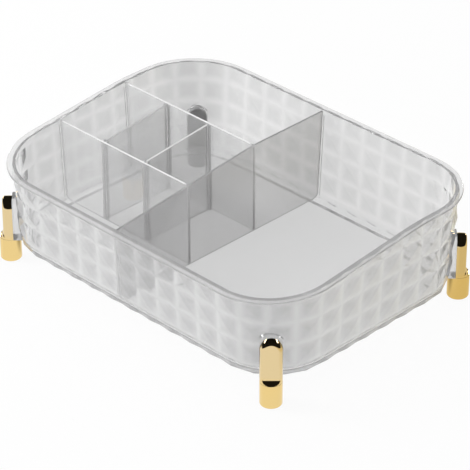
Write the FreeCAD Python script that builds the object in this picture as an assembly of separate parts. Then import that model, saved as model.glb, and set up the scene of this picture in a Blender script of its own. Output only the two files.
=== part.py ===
import FreeCAD
import Part
import math
import os

from FreeCAD import Vector

# Vanity organizer: a clear faceted tray on four plated feet, with five divider panels that lift out.
# X runs along the length, Y from the low front wall to the high back wall, and Z up.
# The origin is on the table under the middle of the tray. Lengths are in millimetres.

# Tray outline, measured over the rim
tray_length = 300.0
tray_width = 219.0
corner_radius = 52.5
tray_lift = 16.4
front_height = 62.0
back_height = 76.0
rim_bend_y = 31.0
rim_bend_radius = 200.0

# Tray wall, floor and rim lip
wall_thickness = 2.4
wall_draft_deg = 3.0
floor_thickness = 2.5
floor_fillet = 4.0
underside_recess = 1.5
recess_margin = 9.0
lip_overhang = 3.5
lip_thickness = 2.2
lip_edge_radius = 0.8

# Pyramids on the outside of the wall, the grooves between them, and the hem where the wall turns under
cell_width = 20.0
cell_height = 17.9
cell_relief = 1.4
groove_width = 1.2
hem_height = 7.6
hem_inset = 2.0
hem_wave = 1.0

# Divider panels, and the channels and grooves that hold their ends
divider_thickness = 1.8
divider_drop = 0.5
main_divider_x = -9.6
front_divider_y = -33.5
back_divider_y = 32.0
left_short_x = -97.7
right_short_x = -55.0
channel_rib_width = 1.0
channel_rib_depth = 2.4
end_groove_depth = 0.6
guide_rib_width = 1.0
guide_rib_depth = 1.2
guide_rib_drop = 4.0
slide_clearance = 0.2
end_clearance = 0.3
corner_relief = 1.5

# Feet, and the bosses on the tray that they are pegged to
foot_diameter = 15.9
foot_height = 50.7
foot_base_height = 18.5
foot_post_thickness = 7.4
foot_front_step = 3.25
foot_crown_rise = 6.4
foot_bottom_radius = 1.6
foot_ledge_radius = 4.3
foot_edge_radius = 0.4
foot_gap = 0.3
foot_bearing_deg = 47.6
foot_facing_deg = 45.0
boss_rise = 2.6
peg_radius = 2.2
peg_length = 3.0
peg_pitch = 13.0
lower_peg_rise = 8.0
peg_fit = 0.05
peg_hole_spare = 0.3

# How far cutting tools run past what they cut
overrun = 10.0

# Levels and places worked out from the sizes above
half_thickness = divider_thickness / 2
draft_slope = math.tan(math.radians(wall_draft_deg))
rim_z = tray_lift + back_height
floor_z = tray_lift + underside_recess + floor_thickness
centre_x = tray_length / 2 - corner_radius
centre_y = tray_width / 2 - corner_radius
foot_radius = foot_diameter / 2
post_front = foot_radius - foot_front_step
post_rear = post_front - foot_post_thickness


def wall_radius(z, skin):
    """Distance from the frame of corner centres to the drafted wall at height z, skin deep in it."""
    return corner_radius - lip_overhang - skin - (rim_z - z) * draft_slope


def box(low, high):
    """A box between two opposite corners."""
    return Part.makeBox(high.x - low.x, high.y - low.y, high.z - low.z, low)


def rounded_outline(radius, z):
    """A rounded rectangle about the corner centres, in the plane at height z."""
    edges = []
    corners = [(1, -1, 270), (1, 1, 0), (-1, 1, 90), (-1, -1, 180)]
    arcs = []
    for side_x, side_y, start in corners:
        centre = Vector(side_x * centre_x, side_y * centre_y, z)
        points = []
        for turn in (0, 45, 90):
            angle = math.radians(start + turn)
            points.append(centre + Vector(math.cos(angle), math.sin(angle), 0) * radius)
        arcs.append(points)
    for here, after in zip(arcs, arcs[1:] + arcs[:1]):
        edges.append(Part.Arc(*here).toShape())
        edges.append(Part.LineSegment(here[2], after[0]).toShape())
    return Part.Wire(edges)


def upright_block(radius, low, high):
    """A block of rounded outline with upright sides."""
    return Part.Face(rounded_outline(radius, low)).extrude(Vector(0, 0, high - low))


def room(clearance, fillet):
    """The space inside the walls, drawn in by a clearance, with its floor edge filleted."""
    skin = wall_thickness + clearance
    high = rim_z + overrun
    low_outline = rounded_outline(wall_radius(floor_z, skin), floor_z)
    high_outline = rounded_outline(wall_radius(high, skin), high)
    space = Part.makeLoft([low_outline, high_outline], True, True)
    floor_edges = [edge for edge in space.Edges if edge.BoundBox.ZMax < floor_z + fillet]
    return space.makeFillet(fillet, floor_edges)


def under_rim(drop):
    """Everything below the rim, lowered by a drop: it climbs from the front wall, bends and runs level."""
    slope = math.atan2(back_height - front_height, rim_bend_y + tray_width / 2)
    tangent = rim_bend_radius * math.tan(slope / 2)
    x = -tray_length / 2 - overrun
    far = tray_width / 2 + overrun
    top = rim_z - drop
    climb = Vector(0, math.cos(slope), math.sin(slope))
    bend = Vector(x, rim_bend_y, top)
    bend_start = bend - climb * tangent
    bend_end = bend + Vector(0, tangent, 0)
    arc_centre = bend_end - Vector(0, 0, rim_bend_radius)
    arc_middle = arc_centre + Vector(0, -math.sin(slope / 2), math.cos(slope / 2)) * rim_bend_radius
    front = bend - climb * ((rim_bend_y + far) / climb.y)
    back = Vector(x, far, top)
    low_back = Vector(x, far, 0)
    low_front = Vector(x, -far, 0)
    edges = [
        Part.LineSegment(front, bend_start).toShape(),
        Part.Arc(bend_start, arc_middle, bend_end).toShape(),
        Part.LineSegment(bend_end, back).toShape(),
        Part.LineSegment(back, low_back).toShape(),
        Part.LineSegment(low_back, low_front).toShape(),
        Part.LineSegment(low_front, front).toShape(),
    ]
    side = Part.Face(Part.Wire(edges))
    return side.extrude(Vector(tray_length + 2 * overrun, 0, 0))


def outline_legs(radius):
    """The runs and turns of the outline, from the middle of the right wall, anticlockwise.

    Each leg is its length, the corner centre it starts from, its facing there and how far it turns.
    """
    quarter = radius * math.pi / 2
    return [
        (centre_y, Vector(centre_x, 0, 0), 0, 0),
        (quarter, Vector(centre_x, centre_y, 0), 0, 90),
        (2 * centre_x, Vector(centre_x, centre_y, 0), 90, 0),
        (quarter, Vector(-centre_x, centre_y, 0), 90, 90),
        (2 * centre_y, Vector(-centre_x, centre_y, 0), 180, 0),
        (quarter, Vector(-centre_x, -centre_y, 0), 180, 90),
        (2 * centre_x, Vector(-centre_x, -centre_y, 0), 270, 0),
        (quarter, Vector(centre_x, -centre_y, 0), 270, 90),
        (centre_y, Vector(centre_x, -centre_y, 0), 0, 0),
    ]


class Skin:
    """The faceted outside of the wall: columns of pyramids, one row above the other."""

    def __init__(self):
        middle_z = tray_lift + back_height / 2
        self.legs = outline_legs(wall_radius(middle_z, 0))
        self.perimeter = sum(leg[0] for leg in self.legs)
        self.columns = 2 * round(self.perimeter / (2 * cell_width))
        self.rows = math.ceil((back_height - hem_height) / cell_height)
        self.faces = []

    def station(self, column):
        """The corner centre that a column position belongs to, and the outward direction there."""
        left = self.perimeter * (column % self.columns) / self.columns
        for length, start, facing, turn in self.legs:
            if left <= length:
                break
            left -= length
        angle = math.radians(facing + turn * left / length)
        outward = Vector(math.cos(angle), math.sin(angle), 0)
        if turn:
            return start, outward
        return start + Vector(-outward.y, outward.x, 0) * left, outward

    def point(self, column, z, proud):
        """A point of the skin, standing proud of the plain wall."""
        centre, outward = self.station(column)
        return centre + outward * (wall_radius(z, 0) + proud) + Vector(0, 0, z)

    def edge_columns(self, column, inset):
        """Column positions along a cell's edge: both ends drawn in, and the middle where the wall curves."""
        share = inset * self.columns / self.perimeter
        ends = [column + share, column + 1 - share]
        turned = (self.station(column)[1] - self.station(column + 1)[1]).Length > 0
        if turned:
            return [ends[0], column + 1 / 2, ends[1]]
        return ends

    def add_face(self, points):
        self.faces.append(Part.Face(Part.makePolygon(points + points[:1])))

    def cell_ring(self, column, row, inset):
        """The outline of a cell on the plain wall, drawn in by an inset."""
        low = tray_lift + hem_height + row * cell_height + inset
        high = low + cell_height - 2 * inset
        along = self.edge_columns(column, inset)
        ring = [self.point(place, low, 0) for place in along]
        return ring + [self.point(place, high, 0) for place in reversed(along)]

    def add_cell(self, column, row):
        """The half grooves round a cell, and facets from them to the cell's raised middle."""
        outer = self.cell_ring(column, row, 0)
        inner = self.cell_ring(column, row, groove_width / 2)
        middle_z = tray_lift + hem_height + (row + 1 / 2) * cell_height
        peak = self.point(column + 1 / 2, middle_z, cell_relief)
        for place in range(len(outer)):
            here, after = outer[place - 1], outer[place]
            inner_here, inner_after = inner[place - 1], inner[place]
            self.add_face([here, after, inner_after])
            self.add_face([here, inner_after, inner_here])
            self.add_face([inner_here, inner_after, peak])

    def hem_points(self, column):
        """The underside edge of one column: drawn in at both ends, less so in the middle."""
        ends = [self.point(place, tray_lift, -hem_inset) for place in (column, column + 1)]
        middle = self.point(column + 1 / 2, tray_lift, hem_wave - hem_inset)
        return ends[0], middle, ends[1]

    def add_hem(self, column):
        """Facets from the lowest valley line down to the wavy underside edge."""
        above = [self.point(place, tray_lift + hem_height, 0) for place in self.edge_columns(column, 0)]
        first, middle, last = self.hem_points(column)
        self.add_face([above[0], first, middle])
        for here, after in zip(above, above[1:]):
            self.add_face([here, middle, after])
        self.add_face([above[-1], middle, last])

    def add_caps(self):
        """The flat underside, and a flat top that the rim cuts away."""
        top_z = tray_lift + hem_height + self.rows * cell_height
        under = []
        over = []
        for column in range(self.columns):
            under += self.hem_points(column)[:2]
            over += [self.point(place, top_z, 0) for place in self.edge_columns(column, 0)[:-1]]
        self.add_face(under)
        self.add_face(over)

    def solid(self):
        for column in range(self.columns):
            self.add_hem(column)
            for row in range(self.rows):
                self.add_cell(column, row)
        self.add_caps()
        block = Part.Solid(Part.Shell(self.faces))
        if block.Volume < 0:
            block.reverse()
        return block


def on_rim_edge(point):
    """Whether a point lies on the outermost outline of the lip."""
    beyond_x = max(abs(point.x) - centre_x, 0)
    beyond_y = max(abs(point.y) - centre_y, 0)
    return math.hypot(beyond_x, beyond_y) > corner_radius - lip_edge_radius / 2


def rim_lip():
    """A plate that follows the rim, with its outer edges rounded."""
    plate = upright_block(corner_radius, tray_lift, rim_z + overrun)
    plate = plate.common(under_rim(0)).cut(under_rim(lip_thickness))
    outer = []
    for edge in plate.Edges:
        ends = [vertex.Point for vertex in edge.Vertexes]
        upright = math.hypot(ends[0].x - ends[-1].x, ends[0].y - ends[-1].y) < lip_edge_radius
        if on_rim_edge(edge.CenterOfMass) and not upright:
            outer.append(edge)
    return plate.makeFillet(lip_edge_radius, outer)


def foot_reach():
    """Distance of a foot's axis from its corner centre: the base stands just clear of the hem."""
    hem = wall_radius(tray_lift, 0) - hem_inset + hem_wave
    return hem + foot_gap + foot_radius


def at_corner(shape, side_x, side_y):
    """Place a shape made about a foot's axis, facing +X, at one corner of the tray."""
    bearing = math.radians(foot_bearing_deg)
    facing = math.radians(foot_facing_deg)
    reach = foot_reach()
    axis_x = side_x * (centre_x + reach * math.cos(bearing))
    axis_y = side_y * (centre_y + reach * math.sin(bearing))
    turn = math.degrees(math.atan2(side_y * math.sin(facing), side_x * math.cos(facing)))
    placed = shape.copy()
    placed.rotate(Vector(0, 0, 0), Vector(0, 0, 1), turn)
    placed.translate(Vector(axis_x, axis_y, 0))
    return placed


def pegs(radius, length):
    """Two round pegs that point back from a foot's post."""
    made = []
    for rise in (lower_peg_rise, lower_peg_rise + peg_pitch):
        start = Vector(post_rear, 0, foot_base_height + rise)
        made.append(Part.makeCylinder(radius, length, start, Vector(-1, 0, 0)))
    return made


def boss_block():
    """The block behind a foot's post, from the base's ledge to just above the post."""
    low = Vector(post_rear - foot_diameter, -foot_radius, foot_base_height)
    high = Vector(post_rear, foot_radius, foot_height + boss_rise)
    return box(low, high)


def guide_slot(place, along_y):
    """Two slabs across the whole tray, with a gap between them for a divider's edge."""
    slabs = []
    inner = half_thickness + slide_clearance
    far = tray_length
    for side in (-1, 1):
        near = place + min(side * inner, side * (inner + guide_rib_width))
        away = near + guide_rib_width
        if along_y:
            slabs.append(box(Vector(near, -far, 0), Vector(away, far, rim_z)))
        else:
            slabs.append(box(Vector(-far, near, 0), Vector(main_divider_x, away, rim_z)))
    return slabs


def guide_ribs(space):
    """Slim ribs inside the walls that hold the ends of the dividers."""
    slabs = guide_slot(main_divider_x, True)
    slabs += guide_slot(front_divider_y, False) + guide_slot(back_divider_y, False)
    inner = room(guide_rib_depth, floor_fillet)
    return [slab.common(space).common(under_rim(guide_rib_drop)).cut(inner) for slab in slabs]


def tray():
    body = Skin().solid().common(under_rim(lip_thickness / 2))
    body = body.fuse(rim_lip())
    for side_x, side_y in corners:
        body = body.fuse(at_corner(boss_block(), side_x, side_y))
    space = room(0, floor_fillet)
    space = space.cut(guide_ribs(space))
    body = body.cut(space)
    recess_radius = wall_radius(tray_lift, 0) - hem_inset - recess_margin
    body = body.cut(upright_block(recess_radius, tray_lift - overrun, tray_lift + underside_recess))
    for side_x, side_y in corners:
        for hole in pegs(peg_radius + peg_fit, peg_length + peg_hole_spare):
            body = body.cut(at_corner(hole, side_x, side_y))
    return body


def foot():
    """A round base with a flat-fronted post on a hollowed ledge, an arched crown and two pegs behind."""
    body = Part.makeCylinder(foot_radius, foot_height)
    # The seam of the round goes to the back, away from the rounded front edges.
    body.rotate(Vector(0, 0, 0), Vector(0, 0, 1), 180)
    bottom = [edge for edge in body.Edges if edge.BoundBox.ZMax < foot_bottom_radius]
    body = body.makeFillet(foot_bottom_radius, bottom)
    reach = foot_radius + overrun
    top = foot_height + overrun
    front = box(Vector(post_front, -reach, foot_base_height), Vector(reach, reach, top))
    corner = [edge for edge in front.Edges if edge.BoundBox.XMax < reach and edge.BoundBox.ZMax < top]
    front = front.makeFillet(foot_ledge_radius, corner)
    rear = box(Vector(-reach, -reach, foot_base_height), Vector(post_rear, reach, top))
    spring = foot_height - foot_crown_rise
    left = Vector(-reach, -foot_radius, spring)
    right = Vector(-reach, foot_radius, spring)
    arch = Part.Arc(left, Vector(-reach, 0, foot_height), right).toShape()
    low_right = Vector(-reach, foot_radius, -overrun)
    low_left = Vector(-reach, -foot_radius, -overrun)
    frame = Part.makePolygon([right, low_right, low_left, left])
    crown = Part.Face(Part.Wire([arch] + frame.Edges)).extrude(Vector(2 * reach, 0, 0))
    body = body.cut(front).cut(rear).common(crown)
    rounded = []
    for edge in body.Edges:
        in_front = edge.BoundBox.XMin > post_front - foot_edge_radius
        if in_front and edge.BoundBox.ZLength > foot_edge_radius:
            rounded.append(edge)
    body = body.makeFillet(foot_edge_radius, rounded)
    return body.fuse(pegs(peg_radius, peg_length))


def panel(low, high, ribs):
    """A divider: a flat sheet with its channel ribs, trimmed to the walls, the floor and the rim."""
    sheet = box(low, high)
    if ribs:
        sheet = sheet.fuse(ribs).removeSplitter()
    sheet = sheet.common(room(end_clearance, floor_fillet + corner_relief))
    return sheet.common(under_rim(divider_drop))


def channel(place_x, face_y, inward):
    """Two upright ribs on a long panel's inward face, either side of the short panel whose end they hold."""
    ribs = []
    inner = half_thickness + slide_clearance
    outer = inner + channel_rib_width
    tip_y = face_y + inward * channel_rib_depth
    for near, away in ((-outer, -inner), (inner, outer)):
        low = Vector(place_x + near, min(face_y, tip_y), floor_z)
        high = Vector(place_x + away, max(face_y, tip_y), rim_z)
        ribs.append(box(low, high))
    return ribs


def end_groove(place_y):
    """The space of a shallow upright groove in the main divider's left face, for a long panel's end."""
    half = half_thickness + slide_clearance
    left_face = main_divider_x - half_thickness
    low = Vector(left_face - overrun, place_y - half, floor_z - overrun)
    high = Vector(left_face + end_groove_depth, place_y + half, rim_z + overrun)
    return box(low, high)


def main_divider():
    low = Vector(main_divider_x - half_thickness, -tray_width, floor_z)
    high = Vector(main_divider_x + half_thickness, tray_width, rim_z)
    grooves = [end_groove(place_y) for place_y in (front_divider_y, back_divider_y)]
    return panel(low, high, []).cut(grooves)


def long_divider(place_y, inward):
    """A long panel from the left wall into the main divider's groove, with channels on its inward face."""
    face_y = place_y + inward * half_thickness
    ribs = channel(left_short_x, face_y, inward) + channel(right_short_x, face_y, inward)
    low = Vector(-tray_length, place_y - half_thickness, floor_z)
    end_x = main_divider_x - half_thickness + end_groove_depth - end_clearance
    high = Vector(end_x, place_y + half_thickness, rim_z)
    return panel(low, high, ribs)


def short_divider(place_x):
    """A short panel between the two long ones."""
    gap = half_thickness + end_clearance
    low = Vector(place_x - half_thickness, front_divider_y + gap, floor_z)
    high = Vector(place_x + half_thickness, back_divider_y - gap, rim_z)
    return panel(low, high, [])


corners = [(-1, -1), (1, -1), (-1, 1), (1, 1)]
corner_names = ["front_left", "front_right", "back_left", "back_right"]

nodes = {
    "tray": tray(),
    "main_divider": main_divider(),
    "long_divider_front": long_divider(front_divider_y, 1),
    "long_divider_back": long_divider(back_divider_y, -1),
    "short_divider_left": short_divider(left_short_x),
    "short_divider_right": short_divider(right_short_x),
}
one_foot = foot()
for (side_x, side_y), name in zip(corners, corner_names):
    nodes["foot_" + name] = at_corner(one_foot, side_x, side_y)

os.makedirs("parts", exist_ok=True)
for name, shape in nodes.items():
    shape.exportStep("parts/" + name + ".step")
    size = shape.BoundBox
    print(name, len(shape.Solids), "solid", round(shape.Volume), "mm3,", len(shape.Faces), "faces,",
          round(size.XLength, 1), "x", round(size.YLength, 1), "x", round(size.ZLength, 1))
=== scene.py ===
# %% [markdown]
# # A clear vanity organizer
# The object is a see-through tray with a wall of small pyramids and a rim that slopes down to the front.
# Five smoke panels divide it, and it stands on four gold feet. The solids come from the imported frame, in
# metres, standing on z = 0. This lesson gives them their looks.

import math

import bmesh
import bpy
import numpy as np
from mathutils import Matrix, Vector


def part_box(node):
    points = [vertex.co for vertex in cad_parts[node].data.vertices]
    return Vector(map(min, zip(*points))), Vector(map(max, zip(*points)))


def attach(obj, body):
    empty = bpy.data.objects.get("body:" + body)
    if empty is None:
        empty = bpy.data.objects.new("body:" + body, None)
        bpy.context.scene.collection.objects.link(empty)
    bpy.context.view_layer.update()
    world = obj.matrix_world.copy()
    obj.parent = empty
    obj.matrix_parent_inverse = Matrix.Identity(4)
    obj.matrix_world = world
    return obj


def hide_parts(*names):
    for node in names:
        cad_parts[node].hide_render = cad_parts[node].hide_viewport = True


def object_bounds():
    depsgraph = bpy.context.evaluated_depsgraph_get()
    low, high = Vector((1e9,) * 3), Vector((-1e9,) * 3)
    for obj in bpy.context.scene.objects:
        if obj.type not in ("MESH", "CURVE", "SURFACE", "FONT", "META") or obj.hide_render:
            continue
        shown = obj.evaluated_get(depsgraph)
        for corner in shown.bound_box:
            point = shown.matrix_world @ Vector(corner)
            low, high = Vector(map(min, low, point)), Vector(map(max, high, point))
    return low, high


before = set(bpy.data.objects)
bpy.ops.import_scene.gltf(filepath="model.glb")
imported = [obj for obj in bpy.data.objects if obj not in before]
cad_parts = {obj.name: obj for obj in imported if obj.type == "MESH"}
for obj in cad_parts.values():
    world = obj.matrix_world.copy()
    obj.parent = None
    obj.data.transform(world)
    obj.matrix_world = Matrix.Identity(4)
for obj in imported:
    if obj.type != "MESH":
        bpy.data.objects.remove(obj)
cad_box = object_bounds()
mm = 0.001
print("solids:", sorted(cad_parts))

# %% [markdown]
# ## The camera
# The photograph looks down on the near right corner from far away. A camera was fitted to the rim, the
# floor and the panel corners, which gives its bearing, height, tilt and focal length. Building the matrix
# from three directions keeps that fit exact; aiming with a constraint would lose the small roll.

# %% Place the camera
image_pixels = 470
focal_pixels = 2722.98
view_bearing = math.radians(45.01)
view_height = math.radians(31.44)
view_roll = math.radians(-0.08)
aim_point = Vector((0.0, 0.0, 56.4)) * mm
camera_distance = 1942.91 * mm
camera_right = 2.21 * mm
camera_up = -19.0 * mm

level = math.cos(view_height)
toward = Vector((math.sin(view_bearing) * level, -math.cos(view_bearing) * level, math.sin(view_height)))
flat_right = Vector((math.cos(view_bearing), math.sin(view_bearing), 0.0))
flat_up = toward.cross(flat_right)
right = flat_right * math.cos(view_roll) + flat_up * math.sin(view_roll)
up = flat_up * math.cos(view_roll) - flat_right * math.sin(view_roll)
placement = Matrix((right, up, toward)).transposed().to_4x4()
placement.translation = aim_point + toward * camera_distance + flat_right * camera_right + flat_up * camera_up

camera_data = bpy.data.cameras.new("camera")
camera_data.sensor_width = 36.0
camera_data.lens = focal_pixels / image_pixels * camera_data.sensor_width
camera = bpy.data.objects.new("camera", camera_data)
camera.matrix_world = placement
bpy.context.scene.collection.objects.link(camera)
bpy.context.scene.camera = camera
print("lens:", round(camera_data.lens, 1), "mm")

# %% [markdown]
# ## Helpers for nodes
# Every finish below is a small graph. A few helpers add a node and set or link its inputs, so that each
# finish reads as a list of what it is made of.

# %% Node helpers
def add_node(tree, kind, **values):
    """Adds a node and sets inputs by name; underscores in a name stand for spaces."""
    node = tree.nodes.new(kind)
    for name, value in values.items():
        node.inputs[name.replace("_", " ")].default_value = value
    return node


def feed(tree, sockets, values):
    """Gives each socket its value: a link from another socket, or a plain number or colour."""
    for socket, value in zip(sockets, values):
        if isinstance(value, bpy.types.NodeSocket):
            tree.links.new(value, socket)
        else:
            socket.default_value = value


def add_math(tree, operation, first, second=0.0):
    """A math node on one or two inputs, each a socket or a plain number."""
    node = tree.nodes.new("ShaderNodeMath")
    node.operation = operation
    feed(tree, node.inputs, (first, second))
    return node.outputs[0]


def add_blend(tree, share, first, second):
    """A colour between two colours, each a socket or plain, by a share that is held to 0..1."""
    node = tree.nodes.new("ShaderNodeMix")
    node.data_type = "RGBA"
    tree.links.new(share, node.inputs[0])
    # A Mix node has sockets for every kind of value: 6 and 7 take the colours, and output 2 gives one.
    feed(tree, node.inputs[6:8], (first, second))
    return node.outputs[2]


def new_material(name):
    """A material with only its output node."""
    material = bpy.data.materials.new(name)
    material.use_nodes = True
    tree = material.node_tree
    tree.nodes.clear()
    output = tree.nodes.new("ShaderNodeOutputMaterial")
    return material, tree, output.inputs["Surface"]


# %% [markdown]
# ## White table
# The organizer stands on a white table that fills the picture, so the table is also the background. Clear
# plastic and gold show little of their own: they show what is around them. The Light Path node tells what
# kind of ray asks, so the table can be plain white to the camera and through plastic, while to a mirror it
# carries a painted reflection that turns warm to the right, and painted shade that is dark under the tray.
# Coloured cards round the tray would do the same, with more objects to place.

# %% Table
backdrop_share = 0.93
table_half = 6.0
table_paint = (0.86, 0.86, 0.86, 1.0)
white = (1.0, 1.0, 1.0, 1.0)
# Painted reflection: the table turns to this warm colour toward the right, only in mirrors.
painted_warm_reflection = (0.80, 0.72, 0.50, 1.0)
fade_start = 50.0 * mm
fade_end = 160.0 * mm
# Painted shade: the table is this dark under the tray, only in mirrors.
painted_shade_under_tray = (0.10, 0.08, 0.05, 1.0)
under_start = 20.0 * mm
under_end = 45.0 * mm


def mirrored_table(tree, in_mirror):
    """White, but in a mirror it carries a painted reflection that warms toward the right of the picture, and
    painted shade under the tray.

    The painted reflection follows the distance to the right of the middle. The painted shade follows the
    distance in from the nearest side of the solids' box.
    """
    where = tree.nodes.new("ShaderNodeTexCoord").outputs["Object"]
    across = tree.nodes.new("ShaderNodeVectorMath")
    across.operation = "DOT_PRODUCT"
    across.inputs[1].default_value = flat_right
    tree.links.new(where, across.inputs[0])
    fade = add_node(tree, "ShaderNodeMapRange", From_Min=fade_start, From_Max=fade_end)
    tree.links.new(across.outputs["Value"], fade.inputs["Value"])
    split = tree.nodes.new("ShaderNodeSeparateXYZ")
    tree.links.new(where, split.inputs[0])
    past_x = add_math(tree, "SUBTRACT", add_math(tree, "ABSOLUTE", split.outputs["X"]), cad_box[1][0])
    past_y = add_math(tree, "SUBTRACT", add_math(tree, "ABSOLUTE", split.outputs["Y"]), cad_box[1][1])
    under = add_node(tree, "ShaderNodeMapRange", From_Min=-under_start, From_Max=-under_end)
    tree.links.new(add_math(tree, "MAXIMUM", past_x, past_y), under.inputs["Value"])
    fade_share = add_math(tree, "MULTIPLY", fade.outputs["Result"], in_mirror)
    under_share = add_math(tree, "MULTIPLY", under.outputs["Result"], in_mirror)
    open_table = add_blend(tree, fade_share, white, painted_warm_reflection)
    return add_blend(tree, under_share, open_table, painted_shade_under_tray)


def table_material():
    """White paint, lifted to plain white where the camera or clear plastic shows it, and to its painted
    reflection and shade where a mirror does.
    """
    material, tree, surface = new_material("white_table")
    paint = add_node(tree, "ShaderNodeBsdfDiffuse", Color=table_paint)
    glow = add_node(tree, "ShaderNodeEmission", Strength=1.0)
    path = tree.nodes.new("ShaderNodeLightPath")
    in_mirror = add_math(tree, "SUBTRACT", path.outputs["Is Glossy Ray"], path.outputs["Is Transmission Ray"])
    tree.links.new(mirrored_table(tree, in_mirror), glow.inputs["Color"])
    seen = add_math(tree, "MAXIMUM", path.outputs["Is Camera Ray"], path.outputs["Is Glossy Ray"])
    seen = add_math(tree, "MAXIMUM", seen, path.outputs["Is Transmission Ray"])
    mix = tree.nodes.new("ShaderNodeMixShader")
    tree.links.new(add_math(tree, "MULTIPLY", seen, backdrop_share), mix.inputs["Fac"])
    tree.links.new(paint.outputs[0], mix.inputs[1])
    tree.links.new(glow.outputs[0], mix.inputs[2])
    tree.links.new(mix.outputs[0], surface)
    return material


table_mesh = bpy.data.meshes.new("table")
table_corners = [(-1, -1, 0), (1, -1, 0), (1, 1, 0), (-1, 1, 0)]
table_mesh.from_pydata(np.array(table_corners) * table_half, [], [(0, 1, 2, 3)])
table_mesh.materials.append(table_material())
table = bpy.data.objects.new("table", table_mesh)
bpy.context.scene.collection.objects.link(table)
print("table:", 2 * table_half, "m across")

# %% [markdown]
# ## Room and lamps
# Bright plating needs something dark to mirror, or it looks like paint: a dark room gives the feet their
# black marks. Clear plastic needs the opposite, because its edges turn black in a dark room. So the room is
# dark only to a mirror out in the open. A large lamp at the front left gives the soft light. Mirrors do not
# see it; they see two narrow lamps, which draw glints on the crowns of the feet. No lamp is seen through
# the plastic, where it would look like a flaw in the wall.

# %% Room and lamps
mirror_room = 0.012
open_room = 0.6


def build_room():
    """A room that is dark to a mirror out in the open, and pale to everything else."""
    world = bpy.data.worlds.new("room")
    bpy.context.scene.world = world
    world.use_nodes = True
    tree = world.node_tree
    tree.nodes.clear()
    path = tree.nodes.new("ShaderNodeLightPath")
    mirrored = add_math(tree, "MINIMUM", path.outputs["Glossy Depth"], 1.0)
    through = add_math(tree, "MINIMUM", path.outputs["Transmission Depth"], 1.0)
    in_open_mirror = add_math(tree, "SUBTRACT", mirrored, through)
    pale = (open_room, open_room, open_room, 1.0)
    dark = (mirror_room, mirror_room, mirror_room, 1.0)
    light = add_node(tree, "ShaderNodeBackground", Strength=1.0)
    tree.links.new(add_blend(tree, in_open_mirror, pale, dark), light.inputs["Color"])
    output = tree.nodes.new("ShaderNodeOutputWorld")
    tree.links.new(light.outputs[0], output.inputs["Surface"])


def softbox(name, place, width, height, watts):
    """A flat lamp at a place, turned to face the tray."""
    data = bpy.data.lights.new(name, "AREA")
    data.shape = "RECTANGLE"
    data.size = width
    data.size_y = height
    data.energy = watts
    lamp = bpy.data.objects.new(name, data)
    lamp.location = place
    lamp.rotation_euler = (aim_point - Vector(place)).to_track_quat("-Z", "Y").to_euler()
    lamp.visible_transmission = False
    bpy.context.scene.collection.objects.link(lamp)
    return lamp


build_room()
key_lamp = softbox("key_softbox", place=(-1.14, -0.95, 1.1), width=0.8, height=0.8, watts=22.0)
key_lamp.visible_glossy = False
left_lamp = softbox("left_softbox", place=(-2.3, 0.6, 0.65), width=0.6, height=0.24, watts=7.0)
back_lamp = softbox("back_softbox", place=(-0.6, 2.3, 0.65), width=0.6, height=0.24, watts=7.0)
bpy.context.scene.view_settings.view_transform = "Standard"
print("lamps:", [lamp.name for lamp in (key_lamp, left_lamp, back_lamp)])

# %% [markdown]
# ## Marks of moulding
# No moulded surface is perfectly even: the plastic flows into the tool in soft waves, and polish leaves a
# fine haze. One node group makes both from noise on the object's own coordinates, and every finish uses it.

# %% Moulding marks
haze_height = 0.04


def moulding_marks():
    """A group that gives a soft flow tone and a fine haze, from 0 to 1, and a height made of both."""
    group = bpy.data.node_groups.new("moulding_marks", "ShaderNodeTree")
    for name in ("Flow", "Haze", "Height"):
        group.interface.new_socket(name=name, in_out="OUTPUT", socket_type="NodeSocketFloat")
    where = group.nodes.new("ShaderNodeTexCoord").outputs["Object"]
    flow = add_node(group, "ShaderNodeTexNoise", Scale=28.0, Detail=2.0, Roughness=0.45)
    haze = add_node(group, "ShaderNodeTexNoise", Scale=420.0, Detail=3.0, Roughness=0.6)
    for noise in (flow, haze):
        group.links.new(where, noise.inputs["Vector"])
    fine = add_math(group, "MULTIPLY", haze.outputs["Fac"], haze_height)
    height = add_math(group, "ADD", flow.outputs["Fac"], fine)
    output = group.nodes.new("NodeGroupOutput")
    group.links.new(flow.outputs["Fac"], output.inputs["Flow"])
    group.links.new(haze.outputs["Fac"], output.inputs["Haze"])
    group.links.new(height, output.inputs["Height"])
    return group


def add_marks(tree):
    """Places the group of moulding marks in a material."""
    node = tree.nodes.new("ShaderNodeGroup")
    node.node_tree = marks
    return node


def add_range(tree, value, low, high):
    """Carries a value from 0..1 to low..high."""
    node = add_node(tree, "ShaderNodeMapRange", To_Min=low, To_Max=high)
    tree.links.new(value, node.inputs["Value"])
    return node.outputs["Result"]


def add_bump(tree, height, depth):
    """Tilts the surface as waves of a depth would, without moving it."""
    node = add_node(tree, "ShaderNodeBump", Strength=1.0, Distance=depth)
    tree.links.new(height, node.inputs["Height"])
    return node.outputs["Normal"]


marks = moulding_marks()
print("marks:", [socket.name for socket in marks.interface.items_tree])

# %% [markdown]
# ## Gold plating
# The feet are moulded plastic with a bright metal plating. It is a metal with a pale gold colour, a little
# deeper on the round base, and very smooth, with the slow waves of the moulding under it. The back of the
# post goes against the tray, so it is left as bare grey plastic. A ray that has come through plastic finds
# the foot in the same grey too: painted shade for the light and colour that the milky plastic takes out of
# a foot behind it.

# %% Gold plating
gold_pale = (0.80, 0.63, 0.35, 1.0)
gold_deep = (0.88, 0.65, 0.27, 1.0)
gold_flow = 0.3
gold_polish = (0.04, 0.07)
gold_wave = 0.1 * mm
deep_start = 24.0 * mm
deep_end = 17.0 * mm
bare_and_shaded_grey = (0.26, 0.26, 0.265, 1.0)
bare_rough = 0.35
post_rear = -2.7 * mm
base_top = 18.5 * mm
touch = 0.05 * mm
feet = [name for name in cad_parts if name.startswith("foot")]
foot_low, foot_high = (np.array(corner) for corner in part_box("foot_front_right"))
foot_axis = np.abs(foot_low + foot_high)[:2] / 2


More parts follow.
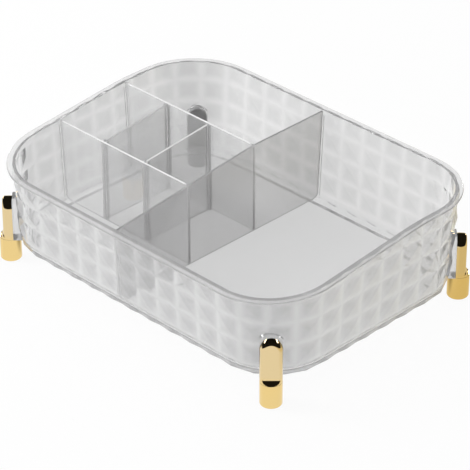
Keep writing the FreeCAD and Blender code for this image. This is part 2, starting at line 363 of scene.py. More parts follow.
def height_and_bare(tree):
    """The height of a place on a foot, and a mask that is 1 on the bare back of its post.

    How far a place lies out along its foot's facing is the sum of its plain distances in x and y over
    the root of two. The back is what lies no further out than the rear of the post, above the base.
    """
    where = tree.nodes.new("ShaderNodeTexCoord").outputs["Object"]
    split = tree.nodes.new("ShaderNodeSeparateXYZ")
    tree.links.new(where, split.inputs[0])
    plain_x = add_math(tree, "ABSOLUTE", split.outputs["X"])
    plain_y = add_math(tree, "ABSOLUTE", split.outputs["Y"])
    outward = add_math(tree, "ADD", plain_x, plain_y)
    limit = foot_axis.sum() + (post_rear + touch) * math.sqrt(2)
    behind_post = add_math(tree, "LESS_THAN", outward, limit)
    above = add_math(tree, "GREATER_THAN", split.outputs["Z"], base_top + touch)
    return split.outputs["Z"], add_math(tree, "MULTIPLY", behind_post, above)


def gold_material():
    """Gold that deepens down to the base, and turns to bare grey plastic where it is not plated and, as
    painted shade, where it is seen through plastic.
    """
    material, tree, surface = new_material("gold_plating")
    made = add_marks(tree)
    height, bare = height_and_bare(tree)
    base = add_node(tree, "ShaderNodeMapRange", From_Min=deep_start, From_Max=deep_end)
    tree.links.new(height, base.inputs["Value"])
    flow = add_range(tree, made.outputs["Flow"], -gold_flow, gold_flow)
    deep = add_math(tree, "ADD", base.outputs["Result"], flow)
    plating = add_blend(tree, deep, gold_pale, gold_deep)
    path = tree.nodes.new("ShaderNodeLightPath")
    # Painted shade: seen through plastic, the foot turns to the bare grey.
    through = add_math(tree, "MINIMUM", path.outputs["Transmission Depth"], 1.0)
    bare = add_math(tree, "MAXIMUM", bare, through)
    polish = add_range(tree, made.outputs["Haze"], *gold_polish)
    rough = add_math(tree, "ADD", polish, add_math(tree, "MULTIPLY", bare, bare_rough))
    metal = tree.nodes.new("ShaderNodeBsdfPrincipled")
    tree.links.new(add_blend(tree, bare, plating, bare_and_shaded_grey), metal.inputs["Base Color"])
    tree.links.new(add_math(tree, "SUBTRACT", 1.0, bare), metal.inputs["Metallic"])
    tree.links.new(rough, metal.inputs["Roughness"])
    tree.links.new(add_bump(tree, made.outputs["Height"], gold_wave), metal.inputs["Normal"])
    tree.links.new(metal.outputs[0], surface)
    return material


gold = gold_material()
print("gold is for:", feet)

# %% [markdown]
# ## Clear and smoke plastic
# The plastic is clear with a little milk in it: most light goes through and bends, and a share scatters at
# the surface. A tone stored on each piece makes the pyramids a little greyer than the grooves between them,
# as thick plastic is. A face that is seen squarely is painted a little greyer than one seen at a slant, which
# is painted shade. The top edges of the panels glow by a second stored value, a painted highlight. Shadow
# rays pass straight through, so the tray lights its own inside. Mirror rays do so too, so the feet mirror the
# room and the table and not the tray.

# %% Plastics
plastic_index = 1.49
plastic_wave = 0.06 * mm
haze_spread = 0.3
# Strength of the painted highlight that makes the panels' top edges glow.
painted_edge_highlight = 0.5
facing_shade_share = 0.5
slant = 0.5


def add_tint_and_shade(tree, light, deep):
    """A tint between two colours, by the stored tone and by painted shade on a face that is seen squarely.

    Layer Weight's Facing is 0 on a face seen squarely and 1 on one seen edge on; from slant on it adds
    nothing.
    """
    tone = tree.nodes.new("ShaderNodeAttribute")
    tone.attribute_name = "tone"
    facing = add_node(tree, "ShaderNodeLayerWeight", Blend=0.5)
    # Painted shade: a face seen squarely is made greyer, up to the facing share.
    squarely = add_node(tree, "ShaderNodeMapRange", From_Min=slant, From_Max=0.0, To_Max=facing_shade_share)
    tree.links.new(facing.outputs["Facing"], squarely.inputs["Value"])
    share = add_math(tree, "ADD", tone.outputs["Fac"], squarely.outputs["Result"])
    return add_blend(tree, share, light, deep)


def plastic_material(name, light, deep, clarity, haze, gloss):
    """Clear plastic between two tints, with its share of light let through, its haze and its gloss."""
    material, tree, surface = new_material(name)
    made = add_marks(tree)
    tint = add_tint_and_shade(tree, light, deep)
    glass = add_node(tree, "ShaderNodeBsdfPrincipled", IOR=plastic_index, Transmission_Weight=clarity)
    glass.inputs["Specular IOR Level"].default_value = gloss
    # The emission is a painted highlight: it lights the panels' top edges by their stored value.
    glass.inputs["Emission Strength"].default_value = painted_edge_highlight
    rough = add_range(tree, made.outputs["Haze"], haze * (1 - haze_spread), haze * (1 + haze_spread))
    edge = tree.nodes.new("ShaderNodeAttribute")
    edge.attribute_name = "painted_edge_highlight"
    tree.links.new(tint, glass.inputs["Base Color"])
    tree.links.new(rough, glass.inputs["Roughness"])
    tree.links.new(add_bump(tree, made.outputs["Height"], plastic_wave), glass.inputs["Normal"])
    tree.links.new(edge.outputs["Color"], glass.inputs["Emission Color"])
    through = tree.nodes.new("ShaderNodeBsdfTransparent")
    tree.links.new(tint, through.inputs["Color"])
    path = tree.nodes.new("ShaderNodeLightPath")
    in_open = add_math(tree, "LESS_THAN", path.outputs["Transmission Depth"], 0.5)
    in_mirror = add_math(tree, "MULTIPLY", path.outputs["Is Glossy Ray"], in_open)
    passed = add_math(tree, "MAXIMUM", path.outputs["Is Shadow Ray"], in_mirror)
    mix = tree.nodes.new("ShaderNodeMixShader")
    tree.links.new(passed, mix.inputs["Fac"])
    tree.links.new(glass.outputs[0], mix.inputs[1])
    tree.links.new(through.outputs[0], mix.inputs[2])
    tree.links.new(mix.outputs[0], surface)
    return material


clear = plastic_material(
    "clear_plastic",
    light=white,
    deep=(0.64, 0.64, 0.642, 1.0),
    clarity=0.82,
    haze=0.025,
    gloss=0.3,
)
smoke = plastic_material(
    "smoke_plastic",
    light=(0.96, 0.96, 0.96, 1.0),
    deep=(0.74, 0.74, 0.743, 1.0),
    clarity=0.85,
    haze=0.03,
    gloss=0.2,
)
print("plastics:", clear.name, "and", smoke.name)

# %% [markdown]
# ## Outline of the tray
# Seen from above the tray is a rounded rectangle. Its wall leans out by three degrees, so every level has
# its own radius about the same four corner centres. One distance, measured round the tray, then finds the
# corner centre and the outward direction of any place on the wall.

# %% Tray outline
tray_low, tray_high = (np.array(corner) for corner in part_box("tray"))
half_length, half_width = (tray_high - tray_low)[:2] / 2
tray_lift = tray_low[2]
rim_top = tray_high[2]
corner_radius = 52.5 * mm
centre_x = half_length - corner_radius
centre_y = half_width - corner_radius
lip_overhang = 3.5 * mm
draft = math.tan(math.radians(3.0))


def wall_radius(z, depth=0.0):
    """Distance of the leaning wall from the frame of corner centres at height z, at a depth in the wall."""
    return corner_radius - lip_overhang - depth - (rim_top - z) * draft


quarter = wall_radius((tray_lift + rim_top) / 2) * math.pi / 2
long_run, short_run = 2 * centre_x, 2 * centre_y
legs = [0, centre_y, quarter, long_run, quarter, short_run, quarter, long_run, quarter, centre_y]
knots = np.cumsum(legs)
perimeter = knots[-1]


def outline_frame(distance):
    """Corner centre and outward direction at a distance round the tray.

    Both run straight between the knots: the centre moves along the straight walls, and the facing
    turns a quarter round each corner.
    """
    facing = np.interp(distance, knots, np.radians([0, 0, 90, 90, 180, 180, 270, 270, 360, 360]))
    x = np.interp(distance, knots, centre_x * np.array([1, 1, 1, -1, -1, -1, -1, 1, 1, 1]))
    y = np.interp(distance, knots, centre_y * np.array([0, 1, 1, 1, 1, -1, -1, -1, -1, 0]))
    return np.stack([x, y], -1), np.stack([np.cos(facing), np.sin(facing)], -1)


print("round the tray:", round(perimeter / mm), "mm")

# %% Sloped rim
back_height = rim_top - tray_lift
front_height = 62.0 * mm
rim_bend_y = 31.0 * mm
rim_bend_radius = 200.0 * mm


def rim_height(y):
    """Height of the rim at y: a straight climb from the front, an arc, then level to the back."""
    slope = math.atan2(back_height - front_height, rim_bend_y + half_width)
    tangent = rim_bend_radius * math.tan(slope / 2)
    climb = rim_top + (y - rim_bend_y) * math.tan(slope)
    arc_end = rim_bend_y + tangent
    below = np.clip(arc_end - y, 0, rim_bend_radius)
    bend = rim_top - rim_bend_radius + np.sqrt(rim_bend_radius**2 - below**2)
    on_bend = y > rim_bend_y - tangent * math.cos(slope)
    return np.where(y > arc_end, rim_top, np.where(on_bend, bend, climb))


print("rim at the front:", round(float(rim_height(-half_width)) / mm, 1), "mm")

# %% [markdown]
# ## Wall of pyramids
# The outside is a grid of square pyramids with flat grooves between them. A grid surface suits it: one
# direction counts places round the tray, the other counts levels. Each cell gets places at its groove
# edges and its middle, and each side of a cell is a straight chord, so that the facets come out flat.

# %% Cells round the wall
cell_width = 20.0 * mm
cell_height = 17.9 * mm
groove = 1.2 * mm
hem_height = 7.6 * mm
half_steps = 4
columns = 2 * round(perimeter / (2 * cell_width))
rows = math.ceil((back_height - hem_height) / cell_height)


def cell_shares(edge):
    """Shares across one cell, from its first groove edge to its middle and on to its last edge."""
    first = np.linspace(edge, 0.5, half_steps + 1)
    return np.concatenate([first, 1 - first[-2::-1]])


column_edge = groove / 2 / cell_width
row_edge = groove / 2 / cell_height
column_shares = cell_shares(column_edge)
row_shares = cell_shares(row_edge)
first_half = np.arange(2 * half_steps + 1) < half_steps
cell_place = (np.arange(columns)[:, None] + column_shares).ravel()
cell_share = np.tile(column_shares, columns)
round_centre, round_outward = outline_frame(cell_place * perimeter / columns)
print("cells:", columns, "round and", rows, "up")

# %% Loops round the wall
def ring(radius, z):
    """One level loop of the tray on its true outline; the radius may change round the loop."""
    flat = round_centre + round_outward * np.reshape(radius, (-1, 1))
    return np.column_stack([flat, np.broadcast_to(z, cell_place.shape)])


def rim_ring(radius, drop):
    """A loop that follows the sloped rim, a drop below it."""
    loop = ring(radius, 0.0)
    loop[:, 2] = rim_height(loop[:, 1]) - drop
    return loop


def chord_ring(z, proud):
    """A loop of the outer wall in straight chords from groove edge to cell middle, standing proud."""
    cell = np.floor(cell_place)
    before = np.where(cell_share <= 0.5, column_edge, 0.5)
    after = np.where(cell_share <= 0.5, 0.5, 1 - column_edge)
    weight = ((cell_share - before) / (after - before))[:, None]
    ends = []
    for end in (before, after):
        centre, outward = outline_frame((cell + end) * perimeter / columns)
        ends.append(centre + outward * wall_radius(z)[:, None])
    outward = outline_frame((cell + 0.5) * perimeter / columns)[1]
    flat = ends[0] * (1 - weight) + ends[1] * weight + outward * proud[:, None]
    return np.column_stack([flat, z])


print("places in each loop:", len(cell_place))

# %% Pyramids
cell_relief = 1.4 * mm
lip_thickness = 1.4 * mm
peak_tone = 0.5
full_tone_relief = 0.5


def pyramid(z):
    """Height share of the pyramids: one minus the larger of the two distances from a cell's middle.

    Each distance is counted from 0 in the middle of the cell to 1 at the edge of its groove.
    """
    across = np.abs(2 * cell_share - 1) / (1 - 2 * column_edge)
    rise = np.mod((z - tray_lift - hem_height) / cell_height, 1.0)
    upward = np.abs(2 * rise - 1) / (1 - 2 * row_edge)
    return np.clip(1 - np.maximum(across, upward), 0, 1)


def wall_rings():
    """Loops of the pyramid wall from the hem up, each stopped where it meets the lip, and their tones."""
    wall_top = rim_ring(wall_radius(rim_top), lip_thickness)[:, 2]
    rises = (np.arange(rows)[:, None] + row_shares).ravel()
    loops, tones = [], []
    for z in tray_lift + hem_height + rises * cell_height:
        stopped = np.minimum(z, wall_top)
        relief = pyramid(stopped)
        loops.append(chord_ring(stopped, relief * cell_relief))
        tones.append(np.minimum(relief / full_tone_relief, 1) * peak_tone)
    return loops, tones


print("wall loops:", len(wall_rings()[0]))

# %% [markdown]
# ## The whole tray profile
# The tray is one closed skin. Its profile starts under the floor, turns up the hem and the pyramid wall,
# goes out and over the rim lip with rounded edges, and comes down inside to a filleted floor. Every loop
# has the same count of places, so the skin is quads between neighbouring loops and a flat face at each end.
# One more loop just before and after a round holds the smooth shading to that round.

# %% Loops of underside, lip and floor
wall_thickness = 2.4 * mm
hem_inset = 2.0 * mm
hem_wave = 1.0 * mm
hem_edge = 1.6 * mm
recess = 1.5 * mm
recess_margin = 5.0 * mm
recess_slope = 4.0 * mm
lip_round = 0.65 * mm
inner_round = 0.4 * mm
floor_fillet = 4.0 * mm
floor_z = tray_lift + 4.0 * mm
hold = 0.3 * mm


def arc(steps, start, stop):
    """Cosine and sine pairs of evenly spaced angles, given in degrees."""
    angles = np.radians(np.linspace(start, stop, steps + 1))
    return np.column_stack([np.cos(angles), np.sin(angles)])


def under_rings():
    """Loops of the underside, from the recess under the floor to the top of the wavy hem."""
    recess_radius = wall_radius(tray_lift) - hem_inset - recess_margin
    wave = hem_wave * (1 - np.abs(2 * cell_share - 1)) - hem_inset
    base = np.full(cell_place.shape, tray_lift)
    loops = [ring(recess_radius - recess_slope, tray_lift + recess), ring(recess_radius, tray_lift)]
    for out, rise in arc(5, -90, 0) * hem_edge:
        loops.append(chord_ring(base + hem_edge + rise, wave - hem_edge + out))
    loops.append(chord_ring(base + hem_height, np.zeros(cell_place.shape)))
    return loops


def lip_rings():
    """Loops of the rim lip: out under it, round its outer edge, across the top and over the inner edge."""
    loops = [rim_ring(wall_radius(rim_top) + cell_relief, lip_thickness)]
    edge = corner_radius - lip_round
    for out, rise in arc(6, -90, 0) * lip_round:
        loops.append(rim_ring(edge + out, lip_thickness - lip_round - rise))
    for out, rise in arc(6, 0, 90) * lip_round:
        loops.append(rim_ring(edge + out, lip_round - rise))
    inside_y = ring(wall_radius(rim_top, wall_thickness), 0.0)[:, 1]
    inner = wall_radius(rim_height(inside_y), wall_thickness) + inner_round
    for out, rise in arc(4, 90, 180) * inner_round:
        loops.append(rim_ring(inner + out, inner_round - rise))
    loops.append(rim_ring(inner - inner_round - hold * draft, inner_round + hold))
    return loops


def floor_rings():
    """Loops of the fillet from the inner wall down to the floor, with one more just before and after it."""
    centre_z = floor_z + floor_fillet
    centre = wall_radius(centre_z, wall_thickness) - floor_fillet * math.hypot(1, draft)
    loops = [ring(wall_radius(centre_z + hold, wall_thickness), centre_z + hold)]
    loops += [ring(centre + out, centre_z + rise) for out, rise in arc(10, -3, -90) * floor_fillet]
    loops.append(ring(centre - hold, floor_z))
    return loops


print("other loops:", len(under_rings()), "under,", len(lip_rings()), "lip,", len(floor_rings()), "floor")

# %% Tray skin
plain_tone = 0.06
# The floor is greyer, partly for its thickness and partly as painted shade of the table under the tray.
floor_tone = 0.3
weld_gap = 0.001 * mm


def skin_faces(index):
    """Quads between neighbouring loops of point numbers, and a flat face at each end."""
    after = np.roll(index, -1, 1)
    quads = np.stack([index[:-1], after[:-1], after[1:], index[1:]], -1)
    return quads, [index[0][::-1].tolist(), index[-1].tolist()]


def facet_triangles(quads):
    """Splits the quads of the hem and the wall along the edges of the pyramids.

    In two opposite quarters of a cell the split climbs to the right, and in the other two it falls. The
    hem and the groove above it come before the first row of cells.
    """
    low_half = np.concatenate([[False, True], np.tile(first_half, rows)[:-1]])[:, None]
    rising = np.tile(first_half, columns)[None, :] == low_half
    climb, fall = quads[rising], quads[~rising]
    return np.concatenate([climb[:, [0, 1, 2]], climb[:, [0, 2, 3]], fall[:, [0, 1, 3]], fall[:, [1, 2, 3]]])


def tray_skin():
    """The closed skin of the tray through all its loops, with a tone at each point."""
    under = under_rings()
    wall, wall_tones = wall_rings()
    fillet = floor_rings()
    loops = np.array(under + wall + lip_rings() + fillet)
    tone = np.full(loops.shape[:2], plain_tone)
    tone[len(under) : len(under) + len(wall)] = wall_tones
    tone[0] = floor_tone
    tone[-len(fillet) :] = np.linspace(plain_tone, floor_tone, len(fillet))[:, None]
    quads, caps = skin_faces(np.arange(loops[..., 0].size).reshape(loops.shape[:2]))
    first = len(under) - 2
    last = len(under) + len(wall) - 1
    facets = facet_triangles(quads[first:last])
    plain = np.concatenate([quads[:first].reshape(-1, 4), quads[last:].reshape(-1, 4)])
    mesh = bpy.data.meshes.new("tray_skin")
    mesh.from_pydata(loops.reshape(-1, 3), [], facets.tolist() + plain.tolist() + caps)
    mesh.attributes.new("tone", "FLOAT", "POINT").data.foreach_set("value", tone.ravel())
    return mesh


def weld(mesh):
    """Joins points that fall together, where wall loops were stopped at the lip, and counts open edges."""
    work = bmesh.new()
    work.from_mesh(mesh)
    bmesh.ops.remove_doubles(work, verts=work.verts, dist=weld_gap)
    bmesh.ops.dissolve_degenerate(work, edges=work.edges, dist=weld_gap)
    opened = sum(len(edge.link_faces) != 2 for edge in work.edges)
    work.to_mesh(mesh)
    work.free()
    return opened


skin = tray_skin()
print("tray skin: open edges", weld(skin), "faces", len(skin.polygons))

# %% [markdown]
# ## Bosses behind the feet
# Behind each foot the tray carries a boss, a block that grows out of the corner and takes the foot's pegs.
# Its top is arched like the crown of the foot, so that it stays a thin clear line round it. It is a tube of
# level loops that ends inside the wall's thickness, where it will join the skin.

# %% Bosses
foot_radius = (foot_high - foot_low)[0] / 2
foot_top = foot_high[2]
foot_facing = math.radians(45.0)
crown_radius = 8.14 * mm
boss_rise = 2.6 * mm
arch_centre = foot_top - crown_radius
arch_radius = crown_radius + boss_rise
arch_angles = np.linspace(0.1, 1.5, 16)
boss_points = 9
root = 1.2 * mm


def tube(loops):
    """Points and faces of a closed tube through a stack of loops."""
    loops = np.array(loops)
    quads, caps = skin_faces(np.arange(loops[..., 0].size).reshape(loops.shape[:2]))
    return loops.reshape(-1, 3), quads.reshape(-1, 4).tolist() + caps


def foot_stand(name):
    """The axis of a foot, and the direction that it faces, out from its corner."""
    low, high = (np.array(corner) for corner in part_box(name))
    axis = (low + high)[:2] / 2
    return axis, np.sign(axis) * [math.cos(foot_facing), math.sin(foot_facing)]


def boss(foot):
    """A block from the post's rear face back into the wall, following the lean of the wall.

    The rear of each loop is where a line along the foot's facing meets the middle of the wall.
    """
    axis, facing = foot_stand(foot)
    across = np.array([-facing[1], facing[0]])
    corner_centre = np.sign(axis) * [centre_x, centre_y]
    loops = []
    for z in [base_top + touch, *(arch_centre + arch_radius * np.sin(arch_angles))]:
        arch_half = math.sqrt(arch_radius**2 - max(z - arch_centre, 0) ** 2)
        offsets = np.linspace(-1, 1, boss_points)[:, None] * min(foot_radius, arch_half) * across
        front = axis + facing * (post_rear - touch) + offsets
        start = front - corner_centre
        along = start @ facing
        reach = along - np.sqrt(along**2 - (start**2).sum(1) + wall_radius(z, root) ** 2)
        rear = front - facing * reach[:, None]
        outline = np.concatenate([front, rear[::-1]])
        loops.append(np.column_stack([outline, np.full(len(outline), z)]))
    return tube(loops)


growths = [boss(name) for name in feet]
print("bosses:", len(growths))

# %% [markdown]
# ## Guides on the walls
# Inside the walls, pairs of slim ribs guide the ends of the panels. Each is a short tube of two rectangles
# that starts in the floor and leans with the wall, with its back inside the wall's thickness.

# %% Guides
guide_width = 1.0 * mm
guide_depth = 1.2 * mm
guide_drop = 4.0 * mm
panel_half = 0.9 * mm
slide_gap = 0.2 * mm
main_x = -9.6 * mm
long_places = (-33.5 * mm, 32.0 * mm)


def level_rectangle(x, y, z):
    """The corners of a level rectangle between two places in x and two in y, each in rising order."""
    return [(x[0], y[0], z), (x[1], y[0], z), (x[1], y[1], z), (x[0], y[1], z)]


def guide(near, away, wall_side, along_y):
    """A rib between two places across its width, up the inside of a wall, leaning with the wall."""
    centre = centre_y if along_y else centre_x
    inner = wall_side * (centre + wall_radius(rim_top, wall_thickness))
    top = rim_height(inner if along_y else (near + away) / 2) - guide_drop
    widths = np.array([near, away])
    loops = []
    for z in (floor_z - root, top):
        wall = centre + wall_radius(z, wall_thickness)
        depths = np.sort(wall_side * np.array([wall - guide_depth, wall + root]))
        x, y = (widths, depths) if along_y else (depths, widths)
        loops.append(level_rectangle(x, y, z))
    return tube(loops)


def rib_spans(middle, width):
    """The two spans of a pair of ribs, either side of the panel that slides between them."""
    inner = panel_half + slide_gap
    outer = inner + width
    return [(middle - outer, middle - inner), (middle + inner, middle + outer)]


def guide_pair(middle, wall_side, along_y):
    """Two guides on a wall, for the end of one panel."""
    return [guide(near, away, wall_side, along_y) for near, away in rib_spans(middle, guide_width)]


growths += guide_pair(main_x, -1, True) + guide_pair(main_x, 1, True)
for long_place in long_places:
    growths += guide_pair(long_place, -1, False)
print("bosses and guides:", len(growths))

# %% [markdown]
# ## One closed tray
# Joining the bosses and guides to the skin with a Boolean leaves one closed piece of plastic. Parts that only
# overlap would show their hidden faces through the clear wall. Then come the shading normals: clear plastic
# bends light by them, so a flat face must have a flat normal, or it turns into a lens with dark patches.

# %% Join and show
def gather(name, parts, tone):
    """One mesh from several closed parts, with an even tone."""
    points, faces, count = [], [], 0
    for part_points, part_faces in parts:
        points.append(part_points)
        faces += [[corner + count for corner in face] for face in part_faces]
        count += len(part_points)
    mesh = bpy.data.meshes.new(name)
    mesh.from_pydata(np.concatenate(points), [], faces)
    mesh.attributes.new("tone", "FLOAT", "POINT").data.foreach_set("value", np.full(count, tone))
    return mesh


def combined(name, body, others, operation):
    """A new mesh: a body joined with other closed parts, or with them cut out of it."""
    objects = [bpy.data.objects.new(name, mesh) for mesh in (body, others)]
    for item in objects:
        bpy.context.scene.collection.objects.link(item)
    change = objects[0].modifiers.new("combine", "BOOLEAN")
    change.operation = operation
    change.solver = "MANIFOLD"
    change.object = objects[1]
    graph = bpy.context.evaluated_depsgraph_get()
    mesh = bpy.data.meshes.new_from_object(objects[0].evaluated_get(graph))
    for item in objects:
        bpy.data.objects.remove(item)
    return mesh


def show(name, mesh, material, node, body):
    """Puts a finished mesh in the scene in place of a CAD node, riding on a body."""
    mesh.name = name
    mesh.materials.clear()
    mesh.materials.append(material)
    piece = bpy.data.objects.new(name, mesh)
    bpy.context.scene.collection.objects.link(piece)
    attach(piece, body)
    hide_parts(node)
    return piece


# %% Tray
sharp_angle = math.radians(30)
level_normal = 0.9999


def face_values(mesh, name, width):
    """One named value of every face, as an array."""
    values = np.empty(width * len(mesh.polygons), np.float32)
    mesh.polygons.foreach_get(name, values)
    return values.reshape(-1, width).T


def flatten_facets(mesh):
    """Flat shading on level faces, and outside the middle of the wall from hem to lip; the rest is smooth."""
    x, y, z = face_values(mesh, "center", 3)
    beyond_x = np.clip(np.abs(x) - centre_x, 0, None)
    beyond_y = np.clip(np.abs(y) - centre_y, 0, None)
    outside = np.hypot(beyond_x, beyond_y) > wall_radius(z, wall_thickness / 2)
    facets = outside & (z > tray_lift + hem_edge) & (z < rim_height(y) - lip_thickness)
    level_faces = np.abs(face_values(mesh, "normal", 3)[2]) > level_normal
    mesh.polygons.foreach_set("use_smooth", ~(facets | level_faces))
    return facets.sum()


tray_mesh = combined("tray_shell", skin, gather("growths", growths, plain_tone), "UNION")
opened = weld(tray_mesh)
tray_mesh.set_sharp_from_angle(angle=sharp_angle)
print("tray: open edges", opened, "faces", len(tray_mesh.polygons), "flat", flatten_facets(tray_mesh))
show("tray_shell", tray_mesh, clear, "tray", "tray")

# %% [markdown]
# ## Smoke panels
# Each panel is a flat sheet cut to the inside of the tray, with edges rounded by the cutter. It is made from
# one outline in the panel's own plane, repeated through the thickness and drawn in a little at both faces.
# Channels of two ribs hold the ends of the crossing panels, and are joined to the sheet.

# %% Panel outlines
panel_clearance = 0.3 * mm
seat_gap = 0.05 * mm
top_points = 40


def wall_edge(centre):
    """The inside of a wall as an edge for a panel: its place at a height."""
    return lambda z: centre + wall_radius(z, wall_thickness + panel_clearance)


def corner_arc(edge, side, radius):
    """The rounded lower corner of a panel, from its side edge down to the floor, in along and height."""
    centre_z = floor_z + seat_gap + radius
    centre = edge(centre_z) - radius
    out = arc(6, 0, -90) * radius
    return np.column_stack([side * (centre + out[:, 0]), centre_z + out[:, 1]])


def panel_outline(low_edge, low_corner, high_edge, high_corner, top):
    """A loop: low corner, floor, high corner, then the top back from the high side to the low side.

    Each edge is a function of height that gives a distance; the low one counts the other way. An upper
    corner is where a leaning edge meets a sloped top, so its place is worked out again until it settles.
    """
    low = corner_arc(low_edge, -1, low_corner)
    high = corner_arc(high_edge, 1, high_corner)[::-1]
    ends = np.array([-low_edge(rim_top), high_edge(rim_top)])
    for _ in range(4):
        ends = np.array([-low_edge(top(ends[0])), high_edge(top(ends[1]))])
    along = np.linspace(ends[1], ends[0], top_points)
    return np.concatenate([low, high, np.column_stack([along, top(along)])])


print("a panel's end at the floor:", round(wall_edge(centre_y)(floor_z) / mm, 1), "mm from the middle")

# %% Sheets and ribs
edge_round = 0.45 * mm


def drawn_in(loop, inset):
    """A loop moved inward along the bisector of its two edges at each point."""
    forward = np.roll(loop, -1, 0) - loop
    forward /= np.linalg.norm(forward, axis=1)[:, None]
    inward = np.column_stack([-forward[:, 1], forward[:, 0]])
    bisector = inward + np.roll(inward, 1, 0)
    length = (bisector**2).sum(1)[:, None] / 2
    return loop + inset * bisector / length


def sheet(loop, middle, along_y):
    """A panel through an outline: loops from one face to the other, drawn in along rounded edges."""
    bends = arc(4, 90, 0)
    insets = edge_round * (1 - bends[:, 0])
    depths = edge_round * (1 - bends[:, 1]) - panel_half
    insets = np.concatenate([insets, insets[::-1]])
    depths = np.concatenate([depths, -depths[::-1]])
    loops = []
    for inset, depth in zip(insets, depths):
        along, height = drawn_in(loop, inset).T
        if along_y:
            loops.append(np.column_stack([np.full(len(along), middle + depth), along, height]))
        else:
            loops.append(np.column_stack([along, np.full(len(along), middle - depth), height]))
    return tube(loops)


def bar(x, y, top):
    """A square rib between two places in x and two in y, from the floor to its top."""
    return tube([level_rectangle(x, y, z) for z in (floor_z + seat_gap, top)])


print("sheet:", 2 * panel_half / mm, "mm thick")

# %% Three kinds of panel
panel_drop = 0.5 * mm
panel_corner = 5.5 * mm
square_corner = 0.3 * mm
channel_width = 1.0 * mm
channel_depth = 2.4 * mm
groove_depth = 0.6 * mm
short_places = (-97.7 * mm, -55.0 * mm)


def panel_top(y):
    """Height of a panel's top edge at y, just under the rim."""
    return rim_height(y) - panel_drop


def main_panel():
    """The panel across the whole tray, and the grooves in its left face that take the long panels."""
    outline = panel_outline(wall_edge(centre_y), panel_corner, wall_edge(centre_y), panel_corner, panel_top)
    face = main_x - panel_half
    span = (face - groove_depth, face + groove_depth)
    half = panel_half + slide_gap
    grooves = [bar(span, (place_y - half, place_y + half), 2 * rim_top) for place_y in long_places]
    return sheet(outline, main_x, True), grooves


def long_panel(place_y, inward):
    """A panel from the left wall to the main one, with a channel for each short panel on its inward face."""
    end = main_x - panel_half + groove_depth - panel_clearance
    top = panel_top(place_y)
    outline = panel_outline(
        wall_edge(centre_x), panel_corner, lambda z: end, square_corner, lambda x: top + 0 * x
    )
    span = sorted((place_y, place_y + inward * (panel_half + channel_depth)))
    ribs = []
    for short_place in short_places:
        ribs += [bar(x, span, top) for x in rib_spans(short_place, channel_width)]
    return sheet(outline, place_y, False), ribs


def short_panel(place_x):
    """A plain panel between the two long ones."""
    gap = panel_half + panel_clearance
    low = gap + long_places[0]
    high = long_places[1] - gap
    outline = panel_outline(lambda z: -low, square_corner, lambda z: high, square_corner, panel_top)
    return sheet(outline, place_x, True), []


print("panel top at the front wall:", round(float(panel_top(-half_width)) / mm, 1), "mm")

# %% Panels
pale_tone = 0.02
main_tone = 0.75
rib_tone = 0.95
large_face = 10.0 * mm**2


def mesh_points(mesh):
    """The x, y and z of every point of a mesh, as three arrays."""
    points = np.empty(3 * len(mesh.vertices), np.float32)
    mesh.vertices.foreach_get("co", points)
    return points.reshape(-1, 3).T


def paint_top_highlight(mesh, middle, along_y, painted_highlight):
    """Stores a painted highlight at each point: a glow along the rounded top edge, none elsewhere."""
    x, y, z = mesh_points(mesh)
    along, across = (y, x) if along_y else (x, y)
    on_edge = z > panel_top(y if along_y else middle) - edge_round
    on_edge &= np.abs(across - middle) < panel_half - touch
    on_edge &= (along > along.min() + edge_round) & (along < along.max() - edge_round)
    mesh.attributes.new("painted_edge_highlight", "FLOAT", "POINT").data.foreach_set("value", on_edge * painted_highlight)


def flatten_large(mesh):
    """Flat shading on the large faces of a piece; its narrow rounded edges stay smooth."""
    mesh.set_sharp_from_angle(angle=sharp_angle)
    large = face_values(mesh, "area", 1)[0] > large_face
    mesh.polygons.foreach_set("use_smooth", ~large)


def add_panel(name, parts, middle, along_y, tone, painted_highlight, operation="UNION"):
    """Joins a sheet with its ribs, or cuts its grooves, and shows it as the divider of that name."""
    plain, changes = parts
    mesh = gather(name, [plain], tone)
    if changes:
        mesh = combined(name, mesh, gather(name + "_changes", changes, rib_tone), operation)
    opened = weld(mesh)
    paint_top_highlight(mesh, middle, along_y, painted_highlight)
    flatten_large(mesh)
    show(name + "_panel", mesh, smoke, name, name)
    print(name, "open edges", opened, "faces", len(mesh.polygons))


# The strength of each panel's painted highlight along its top edge.
add_panel("main_divider", main_panel(), main_x, True, main_tone, painted_highlight=0.2, operation="DIFFERENCE")
for end, place_y, inward in (("front", long_places[0], 1), ("back", long_places[1], -1)):
    add_panel("long_divider_" + end, long_panel(place_y, inward), place_y, False, pale_tone, painted_highlight=1.0)
for end, place_x, painted_highlight in (("left", short_places[0], 0.35), ("right", short_places[1], 0.7)):
    add_panel("short_divider_" + end, short_panel(place_x), place_x, True, pale_tone, painted_highlight)

# %% [markdown]
# ## Shape of a foot
# A foot has a round base and a flat-fronted post with an arched crown. Bright plating shows every edge, so
# the front edges of the post are rounded here more fully than on the plain solids: the round catches the
# dark room and a lamp, and draws the outline of the post. The ledge in front of the post is hollowed.

# %% Post of a foot
post_front = 4.7 * mm
front_round = 1.8 * mm
crown_points = 49
post_loops = 7


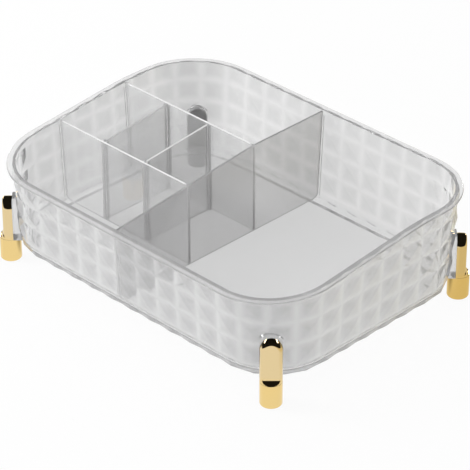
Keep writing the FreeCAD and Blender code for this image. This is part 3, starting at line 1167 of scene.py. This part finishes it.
def post_part():
    """The post as front views from its rear to its front, drawn in along the rounded front edges.

    Each view is an arch on straight sides, narrowed to the width of the round foot at its depth.
    """
    angles = np.linspace(1, -1, crown_points) * math.asin(foot_radius / crown_radius)
    crown = crown_radius * np.column_stack([np.sin(angles), np.cos(angles) - 1]) + [0, foot_top]
    low = base_top - touch
    outline = np.concatenate([[(foot_radius, low)], crown, [(-foot_radius, low)]])
    bends = arc(8, 0, 90) * front_round
    plain = np.linspace(post_rear, post_front - front_round, post_loops)
    depths = np.concatenate([plain, post_front - front_round + bends[1:, 1]])
    insets = np.concatenate([0 * plain, front_round - bends[1:, 0]])
    loops = []
    for depth, inset in zip(depths, insets):
        narrow = math.sqrt(foot_radius**2 - depth**2) / (foot_radius + touch)
        across, height = drawn_in(outline * [narrow, 1], inset).T
        loops.append(np.column_stack([np.full(len(across), depth), across, height]))
    return tube(loops)


print("points in a post:", len(post_part()[0]))

# %% Base of a foot
bottom_round = 1.6 * mm
ledge_radius = 4.3 * mm
ledge_loops = 14
base_points = 96
inside_share = 0.99


def base_part():
    """The base as level circles: a rounded lower edge, straight sides, then a ledge hollowed to the post.

    Above the sides each circle is drawn in by inside_share, so that it lies inside the post. It is cut
    off behind the post and in front of the hollow, and narrowed to the flat of the post.
    """
    turns = np.radians(np.linspace(0, 360, base_points, endpoint=False))
    x, y = foot_radius * np.cos(turns), foot_radius * np.sin(turns)
    loops = []
    for out, rise in arc(5, -90, 0) * bottom_round:
        drawn = 1 + (out - bottom_round) / foot_radius
        loops.append(np.column_stack([x * drawn, y * drawn, np.full(len(x), bottom_round + rise)]))
    loops.append(np.column_stack([x, y, np.full(len(x), base_top)]))
    hollow_x = post_front + ledge_radius - touch
    hollow_z = base_top + ledge_radius
    start = math.asin((hollow_x - foot_radius) / ledge_radius)
    flat_half = math.sqrt(foot_radius**2 - post_front**2) - front_round
    for climb in np.linspace(0, 1, ledge_loops):
        angle = start + climb * (math.pi / 2 - start)
        front = hollow_x - ledge_radius * math.sin(angle)
        half = foot_radius + (flat_half - foot_radius) * climb**2
        height = np.full(len(x), hollow_z - ledge_radius * math.cos(angle))
        kept_x = np.clip(inside_share * x, post_rear + touch, front)
        loops.append(np.column_stack([kept_x, np.clip(inside_share * y, -half, half), height]))
    return tube(loops)


print("points in a base:", len(base_part()[0]))

# %% Feet
def foot_mesh(name):
    """Post and base joined into one foot, then turned to its corner and set on its axis."""
    mesh = combined(name, gather(name, [base_part()], 0), gather(name, [post_part()], 0), "UNION")
    out, across, height = mesh_points(mesh)
    axis, facing = foot_stand(name)
    x = axis[0] + facing[0] * out - facing[1] * across
    y = axis[1] + facing[1] * out + facing[0] * across
    mesh.vertices.foreach_set("co", np.column_stack([x, y, height]).ravel())
    return mesh


for name in feet:
    mesh = foot_mesh(name)
    opened = weld(mesh)
    flatten_large(mesh)
    show(name + "_plated", mesh, gold, name, "tray")
    print(name, "open edges", opened, "faces", len(mesh.polygons))
